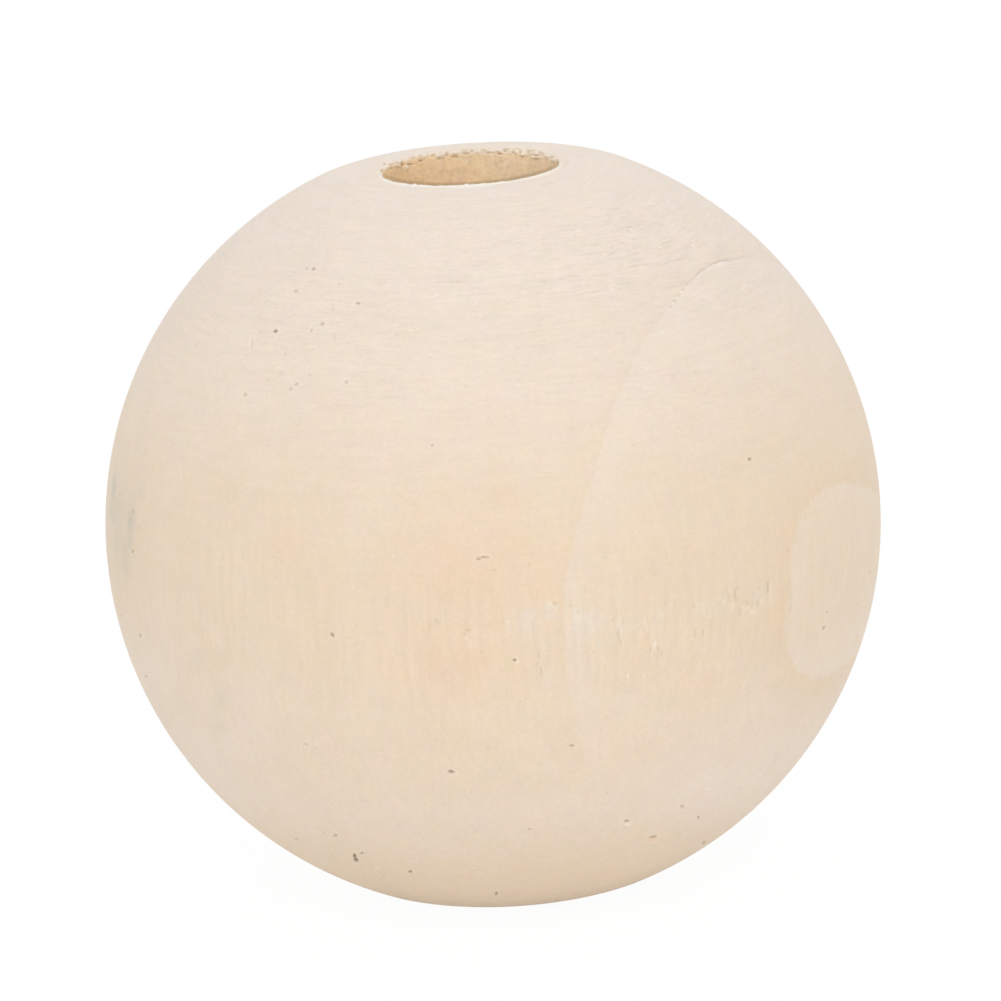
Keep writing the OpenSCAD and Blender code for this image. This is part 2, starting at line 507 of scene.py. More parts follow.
def tornMarks():
    shown, hidden = [], []
    draw = random.Random(nicks["seed"])
    for tone in ("dark", "pale"):
        for px, py, halfWide, halfHigh, strength in nicks[tone]:
            facts = tornFacts(strength, tone, nicks["nickShares"])
            shown.append(markFromPicture(px, py, halfHigh, halfWide, nicks["upright"], **facts))
    for px, py, halfLong, halfWide, turn, strength, tone in nicks["strokes"]:
        facts = tornFacts(strength, tone, nicks["strokeShares"])
        shown.append(markFromPicture(px, py, halfLong, halfWide, turn, **facts))
    for i in range(nicks["count"]):
        place = alongLine(nicks["line"], draw.random())
        px, py = place.x, place.y + draw.gauss(0, 1) * nicks["spreadPx"]
        halfLong = draw.uniform(*nicks["halfLong"]) / pxSize
        halfWide = draw.uniform(*nicks["halfWide"]) / pxSize
        tone = "dark" if i % nicks["paleEvery"] else "pale"
        facts = tornFacts(draw.uniform(*nicks["strength"]), tone, nicks["nickShares"])
        turn = nicks["upright"] + draw.uniform(-nicks["lean"], nicks["lean"])
        shown.append(markFromPicture(px, py, halfLong, halfWide, turn, **facts))
    for first, last in nicks["hiddenArcs"]:
        for i in range(nicks["hiddenCount"]):
            azimuth = math.radians(draw.uniform(first, last))
            facts = tornFacts(draw.uniform(*nicks["hiddenStrength"]), "dark", nicks["nickShares"])
            height = draw.gauss(*nicks["hiddenHeight"]) * mm
            halfLong, halfWide = draw.uniform(*nicks["halfLong"]), draw.uniform(*nicks["halfWide"])
            hidden.append(markOnBall(azimuth, height, halfLong, halfWide, **facts))
    return shown, hidden


def stepWeight(place):
    # how strongly the ring step stands out here: softly along its side, sharply near the top
    height = (place.z - ballCentre.z) / mm
    soft = rings["softShare"]
    return soft * fade(height, *rings["softFrom"]) + (1 - soft) * fade(height, *rings["sharpFrom"])


# How far finer faces go: past the marks, beside the rings in millimetres, from the torn grain's edge
# in pixels, and over the mouths
cuts = {
    "markMargin": 0.2 * mm,
    "poreMargin": 0.1 * mm,
    "nickMargin": 0.08 * mm,
    "hiddenMargin": 0.14 * mm,
    "cornerReach": 1.4,      # of a mark's shape, against its longer half axis
    "fineEdge": 0.05 * mm,   # faces of this size stay as they are
    "ballSlack": 0.006 * mm,
    "onBallShare": 0.998,
    "arc": 0.24,
    "arcFiner": 0.17,
    "oval": 0.3,
    "tear": (-12, 50),
    "tearFiner": (-6, 40),
    "tearFacingShare": 0.3,
    "landReach": 0.32 * mm,
    "farFromShare": -0.2,    # of the bore's radius, where its far side starts
    "farDepth": 0.30 * mm,
    "nearDepth": 0.25 * mm,
}


def cutFiner(bm, faces, times):
    # more faces where fine relief comes; the points of the cuts on the ball go out to it again
    edges = {edge for face in faces for edge in face.edges}
    bmesh.ops.subdivide_edges(bm, edges=list(edges), cuts=times, use_grid_fill=True)
    bmesh.ops.triangulate(bm, faces=[face for face in bm.faces if len(face.verts) > 4])
    for vert in bm.verts:
        out = vert.co - ballCentre
        if ballRadius - cuts["ballSlack"] < out.length < ballRadius:
            vert.co = ballCentre + out.normalized() * ballRadius


def facesUnder(bm, marks, margin):
    # the faces within a margin of the marks' own shapes
    tree = KDTree(len(bm.faces))
    faces = bm.faces[:]
    for i, face in enumerate(faces):
        tree.insert(face.calc_center_median(), i)
    tree.balance()
    found = set()
    for mark in marks:
        long, wide = 1 + margin / mark["halfLong"], 1 + margin / mark["halfWide"]
        reach = cuts["cornerReach"] * (mark["reach"] + margin)
        for place, i, distance in tree.find_range(mark["spot"], reach):
            off = place - mark["spot"]
            if abs(off.dot(mark["slopeLong"])) < long and abs(off.dot(mark["slopeWide"])) < wide:
                found.add(i)
    return [faces[i] for i in found]


def stillCoarse(faces):
    return [face for face in faces if face.calc_area() > cuts["fineEdge"] ** 2]


def facesWhere(bm, test, *limits):
    # the faces whose middles pass a test
    return [face for face in bm.faces if test(face.calc_center_median(), *limits)]


def alongRing(place, name, reach, lowest):
    # beside a ring's edge, above a height
    onBall = (place - ballCentre).length >= cuts["onBallShare"] * ballRadius
    return place.z >= lowest and onBall and abs(ringOffset(place, name)) < reach


def alongTear(place, nearest, farthest):
    # in a band along the torn grain's upper edge, by pixels below it
    if (place - ballCentre).dot(camera["back"]) < cuts["tearFacingShare"] * ballRadius:
        return False
    px, py = pixelOf(place)
    first, last = nicks["edge"][-1][0], nicks["edge"][0][0]
    return first < px < last and nearest < lineOffset(px, py, nicks["edge"]) < farthest


def roundMouth(place, top, far, deepest):
    # on one mouth's edge, its flat ring and its wall down to a depth, all round or on one side
    fromEnd = beadHeight - place.z if top else place.z
    onFarSide = place.y > cuts["farFromShare"] * boreRadius
    inside = math.hypot(place.x, place.y) < boreRadius + bead["mouthRadius"] + cuts["landReach"]
    return inside and fromEnd < deepest and (far is None or onFarSide == far)


poresShown, poresHidden = poreMarks()
nicksShown, nicksHidden = tornMarks()
marks = poresShown + poresHidden + nicksShown + nicksHidden
stepFoot = ballCentre.z + rings["softFrom"][0] * mm
coarse = set(facesUnder(bm, poresShown + nicksShown, cuts["markMargin"]))
coarse.update(facesWhere(bm, alongTear, *cuts["tear"]))
coarse.update(facesWhere(bm, alongRing, "arc", cuts["arc"], stepFoot))
coarse.update(facesWhere(bm, alongRing, "oval", cuts["oval"], 0))
cutFiner(bm, coarse, 2)
cutFiner(bm, stillCoarse(facesUnder(bm, poresShown, cuts["poreMargin"])), 4)
cutFiner(bm, stillCoarse(facesWhere(bm, alongRing, "arc", cuts["arcFiner"], stepFoot)), 3)
finer = set(facesUnder(bm, nicksShown, cuts["nickMargin"]))
finer.update(facesWhere(bm, alongTear, *cuts["tearFiner"]))
cutFiner(bm, stillCoarse(finer), 2)
cutFiner(bm, facesUnder(bm, poresHidden + nicksHidden, cuts["hiddenMargin"]), 4)
print("marks cut,", len(bm.faces), "faces")
cutFiner(bm, facesWhere(bm, roundMouth, True, True, cuts["farDepth"]), 3)
cutFiner(bm, facesWhere(bm, roundMouth, True, False, cuts["nearDepth"]), 2)
cutFiner(bm, facesWhere(bm, roundMouth, False, None, cuts["nearDepth"]), 1)
print("mouths cut,", len(bm.faces), "faces")
layerNames = ("growth", "arc", "oval", "dark", "pale", "torn", "peach", "stain", "lined", "streaks",
              "drilled", "paleTintAndReflection", "crumb")
layer = {name: bm.verts.layers.float.new(name) for name in layerNames}


def raiseLayer(vert, name, value):
    vert[layer[name]] = max(vert[layer[name]], value)


# How a mark and its pale halo fade out, in shares of its half axes
press = {
    "core": (0.35, 1.2),
    "haloIn": (1.0, 1.4),
    "haloOut": (1.5, 2.2),
    "raggedShare": 0.3,
    "raggedWidth": 0.05 * mm,
}


def pressMarks(bm, marks):
    # dents, nicks and lifted fibres
    tree = KDTree(len(marks))
    for i, mark in enumerate(marks):
        tree.insert(mark["spot"], i)
    tree.balance()
    reach = press["haloOut"][1] * max(mark["reach"] for mark in marks)
    for vert in bm.verts:
        sink = 0.0
        for place, i, distance in tree.find_range(vert.co, reach):
            mark = marks[i]
            off = vert.co - mark["spot"]
            ragged = 1 + press["raggedShare"] * noise.noise(vert.co / press["raggedWidth"])
            away = math.hypot(off.dot(mark["slopeLong"]), off.dot(mark["slopeWide"])) * ragged
            core = 1 - fade(away, *press["core"])
            halo = mark["halo"] * fade(away, *press["haloIn"]) * (1 - fade(away, *press["haloOut"]))
            if core:
                further = max if mark["depth"] > 0 else min
                sink = further(sink, core * mark["depth"])
            raiseLayer(vert, "dark", core * mark["dark"])
            raiseLayer(vert, "pale", max(core * mark["pale"], halo))
        if sink:
            vert.co -= (vert.co - ballCentre).normalized() * sink


def cutRingStep(bm):
    # the rings, and the fine groove and pale lip along the arc near the top; the groove's darker colour is
    # painted shade, the lip's paler colour painted highlight
    wide, narrow = rings["stepHalfWidth"]
    softDark, sharpDark = rings["stepShade"]
    softLeft, sharpLeft = rings["unbroken"]
    for vert in bm.verts:
        vert[layer["growth"]] = growthAt(vert.co)
        vert[layer["oval"]] = ringOffset(vert.co, "oval")
        off = vert[layer["arc"]] = ringOffset(vert.co, "arc")
        weight = stepWeight(vert.co)
        out = vert.co - ballCentre
        if weight == 0 or abs(off) > rings["stepReach"] or out.length < rings["onBallShare"] * ballRadius:
            continue
        p = vert.co / mm
        off += rings["stepWander"] * noise.noise(p * rings["wandersPerMm"])
        sharp = max(0.0, weight - rings["softShare"]) / (1 - rings["softShare"])
        breaks = noise.noise(p * rings["breaksPerMm"] + rings["breakOffset"])
        broken = softLeft + sharp * (sharpLeft - softLeft) + rings["breakShare"] * breaks
        width = wide + sharp * (narrow - wide)
        groove = math.exp(-((off - rings["grooveAt"]) / width) ** 2) * weight * broken
        dots = fade(noise.noise(p * rings["dotsPerMm"]), *rings["dotRange"])
        lip = math.exp(-((off - rings["lipAt"]) / rings["lipHalfWidth"]) ** 2) * sharp * dots
        sink = (groove - rings["lipHeightShare"] * lip) * rings["stepDepth"] * mm
        vert.co -= out.normalized() * sink
        dark = softDark + sharp * (sharpDark - softDark)
        raiseLayer(vert, "dark", dark * groove)
        raiseLayer(vert, "pale", rings["lipHighlight"] * lip)


# How steeply the camera looks into the mouth
sightSlope = (camera["eye"].z - beadHeight) / -camera["eye"].y

# The mouth of the bore: torn crumbs of wood round its far side, with painted shadow in the dips between them,
# and a painted highlight along the near edge, on a burr that stands there.
# Crumbs, dips and flecks have their place in the picture, half width and half height
fray = {
    "crumbs": [
        (386, 167.5, 2.4, 2.6), (389, 159, 2.0, 1.3), (394, 162, 2.4, 1.6), (400.3, 161, 1.8, 1.8),
        (396, 165.5, 4.5, 1.5), (406.4, 167.5, 1.3, 2.6), (411, 157, 3.5, 1.2), (418, 155, 3.5, 2.2),
        (426, 155.5, 1.5, 2.0), (431, 154, 1.8, 1.8), (439.5, 152.8, 1.8, 1.8), (443, 155.6, 2.0, 1.8),
        (438, 156.5, 3, 1.6), (447, 149.5, 2.2, 1.4), (452.6, 153.8, 1.8, 1.8), (456.4, 153.8, 1.2, 1.5),
        (464, 149.4, 4, 1.5), (477, 152.3, 1.8, 1.4), (484, 149, 4, 1.4), (488.5, 147.3, 3, 1.4),
        (498.5, 151.2, 2.4, 1.5), (509, 148.5, 4, 1.4), (516.7, 152.6, 1.6, 1.8), (519, 148, 2.2, 1.2),
        (523, 154.6, 2, 1.6), (534, 149.6, 4, 1.2), (543, 152.6, 2.4, 1.2), (536.5, 157.2, 4.5, 1.1),
        (547.5, 157, 2, 1.6), (553.5, 160, 1.5, 2),
    ],
    "dips": [
        (391, 168.5, 1.5, 1.2), (402.5, 164.5, 2, 1.4), (410, 164.5, 4, 1), (421, 160.8, 2.4, 1.4),
        (434, 155.2, 1.6, 1.4), (447, 154.4, 1.8, 2.4), (454.5, 157.2, 3, 1), (466, 153.3, 4, 1.2),
        (472, 150.6, 1.8, 1.0), (490, 152.8, 5.5, 1.0), (500, 154.4, 3, 0.9), (504.4, 150.6, 2, 1.3),
        (513, 152, 1.2, 1.8), (519.7, 151.5, 1.0, 2), (528, 151.3, 2.2, 1.2), (535, 155.2, 5, 0.9),
        (539.6, 151.8, 1.5, 1.2), (551.5, 157.5, 1.6, 1.4), (382.5, 170.5, 1.5, 1.2), (557.3, 163, 1.1, 3),
        (392, 164.6, 2.6, 1), (398, 163.5, 1.4, 1), (385, 163.8, 1.2, 1),
    ],
    "flecks": [
        (441, 164, 1.2, 2.5), (459.5, 159, 2, 1.4), (467, 160.5, 2, 1.4), (485, 165, 1.5, 2),
        (483, 170.5, 2, 2), (508, 162.5, 3, 2.4), (501, 174, 1.5, 2), (523, 162, 4, 1.4),
    ],
    "notches": [(414.5, 183, 2.2), (466.5, 185, 2.0)],   # on the near edge: place and half width
    # painted highlight along the near edge: its width
    "highlightWidth": 3.4 * pxSize,   # of the pale line along the near edge, as the picture shows it
    "burrHeight": 0.065 * mm,    # a burr stands up along that edge
    "burrWidth": 0.055 * mm,
    "crumbHeight": 0.055 * mm,
    "dipDepth": 0.045 * mm,
    "notchHeight": 0.03 * mm,
    "roughHeight": 0.012 * mm,
    "roughWidth": 0.07 * mm,
    "reach": (0.02 * mm, 0.20 * mm),
    "landReach": 0.4 * mm,
    # where things change, as shares of the bore's radius
    "farShares": (-0.35, 0.1),
    "nearShares": (-0.1, 0.15),
    "chippedXShares": (0.2, -0.6),
    "chippedYShares": (-0.1, 0.2),
    # and down the wall, as shares of the mouth's radius
    "drilledShares": (0.45, 1.3),
    "chippedShares": (0.4, 0.5),     # how much higher that is where the edge is chipped
    "edgeShares": (0.9, 1.5),
    "notchShare": 2,
    # the near edge's painted highlight, as shares of its width, and what lies round it
    "highlightShares": (0.75, 1.2),
    "leastFacing": 0.05,
    "burrOff": 0.02 * mm,
    "burrShares": (0.8, 0.3),        # of its height: on average and in its waves
    "waveShare": 0.4,                # how much coarser these are than the roughness
    "sunkShare": 0.8,
    "sunkReach": (0.15 * mm, 0.28 * mm),
    "notchReach": 0.1 * mm,
    "notchHalfHeight": 4,
    # how strongly each thing tells
    "lowRough": 0.5,
    "nearRough": 0.15,
    "fineRough": (0.5, 2.1),         # finer roughness: share, and how much finer
    # painted highlight on the burr and on the notches
    "burrHighlight": 1.5,
    "notchHighlight": 0.8,
    # crumbs: paler fresh wood, partly painted highlight
    "crumbPaleAndHighlight": 1.3,
    "fleckPale": 0.6,
    # painted highlight on raised roughness, painted shade in its hollows, and painted shadow in the dips
    # between crumbs
    "roughHighlight": 0.3,
    "roughShade": 0.12,
    "lowShade": 0.2,
    "dipShadow": 0.38,
    "dipDrilled": 0.9,
    "hillReach": 2,
    "hillPower": 1.5,
}


def hill(px, py, places):
    # how much of the nearest of these places covers a pixel
    best = 0.0
    for x, y, halfWide, halfHigh in places:
        a, b = (px - x) / halfWide, (py - y) / halfHigh
        if max(abs(a), abs(b)) < fray["hillReach"]:
            best = max(best, math.exp(-(a * a + b * b) ** fray["hillPower"]))
    return best


def nearHighlight(x, y, radius):
    # the painted highlight along the near edge, from where the edge turns out of sight, the burr that stands
    # on it, and how much the ring round the burr is sunk
    facing = max(fray["leastFacing"], -y / radius)
    start = boreRadius + bead["mouthRadius"] * (1 - math.sin(math.atan(sightSlope / facing)))
    past = radius - start
    width = fray["highlightWidth"] / math.hypot(x / radius, sightSlope * y / radius)
    weight = 1 - fade(y / boreRadius, *fray["nearShares"])
    burr = math.exp(-((past - fray["burrOff"]) / fray["burrWidth"]) ** 2) * weight
    line = (1 - fade(past, *(share * width for share in fray["highlightShares"]))) * weight
    return line, burr, weight * (1 - fade(past, *fray["sunkReach"]))


def frayMouth(bm):
    mouth = bead["mouthRadius"]
    drilledFrom, drilledTo = fray["drilledShares"]
    chippedFrom, chippedTo = fray["chippedShares"]
    fineShare, finer = fray["fineRough"]
    burrLevel, burrWaves = fray["burrShares"]
    notches = [(px, py, half, fray["notchHalfHeight"]) for px, py, half in fray["notches"]]
    for vert in bm.verts:
        x, y, z = vert.co
        radius = math.hypot(x, y)
        if radius > boreRadius + mouth + fray["landReach"]:
            continue
        top = beadHeight - z < z
        fromEnd = beadHeight - z if top else z
        down, outward = max(0.0, fromEnd - mouth), max(0.0, radius - boreRadius - mouth)
        chipped = edge = 0.0
        far = fray["lowRough"]
        if top:
            chipped = fade(x / boreRadius, *fray["chippedXShares"])
            chipped *= fade(y / boreRadius, *fray["chippedYShares"])
            edge = 1 - fade(fromEnd / mouth, *fray["edgeShares"])
            far = fade(y / boreRadius, *fray["farShares"])
        drilled = fade(fromEnd / mouth, drilledFrom - chippedFrom * chipped, drilledTo - chippedTo * chipped)
        near = 1 - fade(max(down, outward), *fray["reach"])
        lift = Vector((-x, -y, 0)).normalized()
        if fromEnd < mouth:
            lift = (lift + Vector((0, 0, 1 if top else -1))).normalized()
        p = vert.co / fray["roughWidth"]
        rough = noise.noise(p) + fineShare * noise.noise(p * finer)
        rise = rough * near * fray["roughHeight"] * (fray["nearRough"] + (1 - fray["nearRough"]) * far)
        line, burr, sunk = (edge * share for share in nearHighlight(x, y, radius))
        # painted highlight along the near edge and on its burr
        pale, dark = max(line * (1 - drilled), min(1.0, fray["burrHighlight"] * burr)), 0.0
        if top and y > fray["farShares"][0] * boreRadius and fromEnd < bead["shownDepth"]:
            px, py = pixelOf(vert.co)
            crumb, dip, fleck = (hill(px, py, fray[name]) for name in ("crumbs", "dips", "flecks"))
            # crumbs are paler, partly painted highlight; the dips take the wall's tan and a dark colour as
            # painted shadow; rough bumps are painted highlight, rough hollows painted shade
            rise += crumb * fray["crumbHeight"] - dip * fray["dipDepth"]
            vert[layer["crumb"]] = max(min(1.0, fray["crumbPaleAndHighlight"] * crumb), fray["fleckPale"] * fleck,
                                       fray["roughHighlight"] * near * far * max(0, rough))
            drilled = max(drilled, fray["dipDrilled"] * dip)
            dark = max(fray["dipShadow"] * dip, fray["roughShade"] * near * far * max(0, -rough))
        elif top and fromEnd < fray["notchShare"] * mouth:
            notch = hill(*pixelOf(vert.co), notches)
            rise += notch * fray["notchHeight"] * (1 - fade(outward, 0, fray["notchReach"]))
            # painted highlight on the notches
            pale = max(pale, notch * fray["notchHighlight"])
        elif not top:
            # painted highlight on raised roughness and painted shade in its hollows
            pale, dark = fray["roughHighlight"] * near * max(0, rough), fray["lowShade"] * near * max(0, -rough)
        vert.co += lift * rise
        waves = burrLevel + burrWaves * noise.noise(p * fray["waveShare"])
        vert.co.z += (burr * waves - fray["sunkShare"] * sunk) * fray["burrHeight"]
        vert[layer["drilled"]] = drilled
        raiseLayer(vert, "pale", pale)
        raiseLayer(vert, "dark", dark)


# Colour patches: place in the picture, half width and half height in pixels, strength
patches = {
    "peach": [
        (285, 542, 18, 16, 0.5), (470, 572, 70, 55, 0.5), (452, 660, 62, 38, 0.5), (505, 500, 16, 22, 0.4),
        (540, 590, 20, 26, 0.4), (700, 685, 40, 30, 0.3), (651.5, 839.6, 4.5, 2.2, 0.9),
        (620, 745, 45, 25, 0.25), (460, 745, 45, 25, 0.2),
    ],
    "torn": [
        (528, 622, 17, 20, 0.7), (549, 612, 9, 14, 0.7), (583, 622, 18, 18, 0.8), (596, 612, 12, 8, 0.6),
        (631, 622, 10, 11, 0.55), (658, 622, 6, 14, 0.35), (710, 610, 14, 11, 0.35),
        (766, 600, 12, 10, 0.5), (548, 660, 6, 30, 0.55), (573, 680, 7, 36, 0.3), (478, 640, 12, 8, 0.3),
    ],
    "stain": [
        (116, 502, 10, 30, 0.5), (114.6, 480, 2.2, 7, 1.0), (113.6, 493, 2, 6, 1.0),
        (111, 514, 1.8, 5, 0.8), (131, 521, 2.6, 10, 1.0), (128, 535, 2.6, 7, 1.0),
        (124.8, 564, 2.4, 8, 1.0), (117.5, 539, 2, 6, 0.6), (119, 540, 13, 36, 0.4), (130, 526, 5, 30, 0.7),
        (126, 553, 4, 24, 0.7), (118.5, 533, 2, 10, 0.6), (139.5, 486, 2.6, 15, 0.45),
        (200, 660, 10, 8, 0.22), (221, 698, 7, 12, 0.3), (219, 728, 7, 10, 0.3),
    ],
    # paler patches: partly a paler tint, partly painted reflection at the ball's lower edges and top
    "paleTintAndReflection": [
        (150, 665, 45, 60, 0.35), (215, 745, 70, 45, 0.3), (735, 800, 70, 40, 0.35),
        (640, 160, 60, 24, 0.3), (775, 745, 40, 40, 0.25), (380, 505, 50, 25, 0.15),
        (620, 500, 50, 25, 0.1), (700, 440, 50, 25, 0.12), (385, 650, 40, 60, 0.12),
    ],
    "lined": [
        (640, 250, 100, 60, 1.0), (500, 260, 80, 50, 0.7), (330, 300, 110, 90, 0.35),
        (700, 390, 70, 40, 0.35),
    ],
    "streaks": [
        (590, 655, 150, 32, 1.0), (720, 645, 80, 34, 0.9), (430, 665, 70, 26, 0.9), (230, 600, 60, 80, 0.7),
    ],
}

# How a patch fades out, in shares of its half axes, and how ragged it is
spread = {
    "farthestShare": 0.6,    # of the ball's radius
    "reach": 2,
    "raggedPerMm": Vector((6, 6, 0.8)),
    "raggedShare": 0.35,
    "wandersPerMm": 1.1,
    "wanderShare": 0.5,
    "leastFall": 0.1,
    # torn grain starts sharply at its ragged upper edge, in pixels
    "tornEdge": (-0.8, 1.2),
    "tornRaggedPx": 4,
    "tornRaggedShare": 0.6,
    "tornFall": (0.6, 1.3),
    "tornStrength": 0.9,
}


def patchStrength(name, spot, place):
    off = place - spot["spot"]
    if off.length > spread["farthestShare"] * ballRadius:
        return 0.0
    a, b = off.dot(spot["slopeLong"]), off.dot(spot["slopeWide"])
    if max(abs(a), abs(b)) >= spread["reach"]:
        return 0.0
    p = place / mm
    ragged = noise.noise(p * spread["raggedPerMm"])
    wander = 1 + spread["wanderShare"] * noise.noise(p * spread["wandersPerMm"])
    wander += spread["raggedShare"] * ragged
    if name != "torn":
        return spot["strength"] * math.exp(-(a * a + b * b) * max(spread["leastFall"], wander))
    below = lineOffset(*pixelOf(place), nicks["edge"]) + spread["tornRaggedPx"] * ragged
    wander += spread["tornRaggedShare"] * ragged
    inside = 1 - fade(math.hypot(a, b) * wander, *spread["tornFall"])
    return spread["tornStrength"] * spot["strength"] * fade(below, *spread["tornEdge"]) * inside


def spreadPatches(bm):
    for name, places in patches.items():
        spots = [markFromPicture(px, py, halfWide, halfHigh, 0, strength=strength)
                 for px, py, halfWide, halfHigh, strength in places]
        for vert in bm.verts:
            raiseLayer(vert, name, max(patchStrength(name, spot, vert.co) for spot in spots))


pressMarks(bm, marks)
cutRingStep(bm)
frayMouth(bm)
spreadPatches(bm)
print("relief and patches done")

mesh = bpy.data.meshes.new("bead_turned")
bm.to_mesh(mesh)
bm.free()
for polygon in mesh.polygons:
    polygon.use_smooth = True
beadPiece = bpy.data.objects.new("bead_turned", mesh)
scene.collection.objects.link(beadPiece)
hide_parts("bead")
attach(beadPiece, "root")
print("bead has", sum(len(polygon.vertices) - 2 for polygon in mesh.polygons), "triangles")

# Limewood, turned and left bare: pale and matt, with faint rings, fine fibres and a warmer belt of side grain
wood = {
    "pale": "#f4e5d7",       # end grain, near the bore
    "warm": "#eed9be",       # side grain, round the belt
    "fresh": "#f8ede4",      # the early wood just inside a ring's edge
    "late": "#e8c79c",       # the late wood just outside it
    "peach": "#f1d3b4",
    "torn": "#eee0d0",
    "stain": "#c2c1b1",
    "drilled": "#ffebca",
    # a browner colour on one side of the bore's wall
    "wallBrown": "#f6bc66",
    "crumb": "#fff4e2",
    # painted light: a lighter colour on the top round the mouth, where it faces up
    "paintedTopLight": "#fbecdd",      # round the mouth
    # pale fibre, also used as painted highlight on raised edges, lips, burrs and fibres
    "fibreAndHighlight": "#fff8ec",
    # the pore colour also paints shade: the band in the bore, and the ring's groove, the dips and rough
    # hollows round the mouth
    "poreAndShade": "#6d5640",
    # heights in millimetres from the ball's middle, with the share of warm wood and of the painted top light
    # there
    # the warm share rises again towards the bottom end, partly as painted shade
    "beltStops": [
        (-10, 0.95), (-7.2, 0.80), (-6.2, 0.56), (-5.4, 0.50), (-4.6, 0.66), (-2.8, 0.80), (-2.45, 0.76),
        (-2.2, 0.84), (-1, 0.98), (1, 0.95), (3, 0.82), (4.2, 0.58), (5.2, 0.40), (6.2, 0.28), (7, 0.22),
        (8.5, 0.08), (10, 0),
    ],
    "paintedTopLightStops": [(6.8, 0), (7.8, 0.22), (9.0, 0.5), (9.35, 1)],
    # how a ring changes the wood: millimetres inside its edge, share of fresh wood, share of late wood
    "arcStops": [
        (-1.2, 0, 0), (-0.25, 0, 0.02), (-0.07, 0, 0.075), (0.03, 0.16, 0), (0.35, 0.15, 0), (0.8, 0.08, 0),
        (2.0, 0.0, 0),
    ],
    "ovalStops": [
        (-1.2, 0, 0), (-0.4, 0, 0.12), (-0.1, 0, 0.2), (0.03, 0.15, 0), (0.22, 0.17, 0), (0.5, 0.09, 0),
        (2.4, 0.05, 0),
    ],
    "faintStops": [(-0.05, 0.0), (0.05, 0.05), (0.4, 0.04), (1.2, 0.0)],   # fresh wood only
    "ringReach": 2.4,
    "growthReach": 12.0,
    # ranges that become shares, in millimetres where they are places
    "ringWander": {"From Min": 0.2, "From Max": 0.8, "To Min": -0.06, "To Max": 0.06},   # by the fibres
    "arcFoot": {"From Min": -5.2, "From Max": -3.6},
    "comb": {"From Min": 0.35, "From Max": 0.65, "To Min": 0.35},
    # the band of painted shade on the bore's far wall: heights over the line of sight, and the far side only
    "bandTop": {"From Min": 0.085, "From Max": 0.02, "To Max": 0.3},   # from the line of sight into the bore
    "bandFoot": {"From Min": -0.5, "From Max": -0.02},
    "bandSide": {"From Min": 0.0, "From Max": 1.2},
    "brownSide": {"From Min": 1.4, "From Max": -2.2, "To Max": 0.34},
    "scratch": {"From Min": 0.42, "From Max": 0.32},
    "spot": {"From Min": 0.25, "From Max": 0.08},
    "sideGrain": {"From Min": 4.0, "From Max": 0.0, "To Min": 0.35},
    "upper": {"From Min": 0.0, "From Max": 6.0, "To Min": 0.15},
    "sightShare": 0.8,       # of the mouth's radius, where the near edge turns out of sight
    # sizes of the patterns in millimetres
    "fibreWidth": 0.15,
    "fibreStretch": 0.09,    # fibres run along Z, so their pattern is stretched that way
    "toolSpacing": 0.17,
    "toolDrift": (0.1, 0.1, 0),      # tool lines change slowly along their length
    "scratchWidth": 0.06,
    "scratchBreaks": (1.4, 1.4, 1),
    "speckle": 0.085,
    "mottle": 1.3,
    "speckCell": 0.25,
    "dashCell": 0.19,
    "dashBreaks": (4.5, 4.5, 1),
    "wallGrain": 1 / 6.5,
    "blotch": 0.5,
    # how strongly each pattern shows
    "streakGain": 0.9,       # how much more the fibres show where the grain is torn
    "fibreTone": 0.055,
    "toolTone": 0.045,
    "fineTone": 0.035,
    "scratchTone": 0.04,
    "wallTone": 0.3,
    "speckleTone": 0.06,
    "speckTone": 0.045,
    "dashTone": 0.06,
    "mottleTone": 0.028,
    "blotchTone": (0.03, 0.03, 0.085),
    "roughness": 0.78,
    "sheen": 0.15,
    "bumpStrength": 0.35,
    "bumpHeight": 0.008 * mm,
}


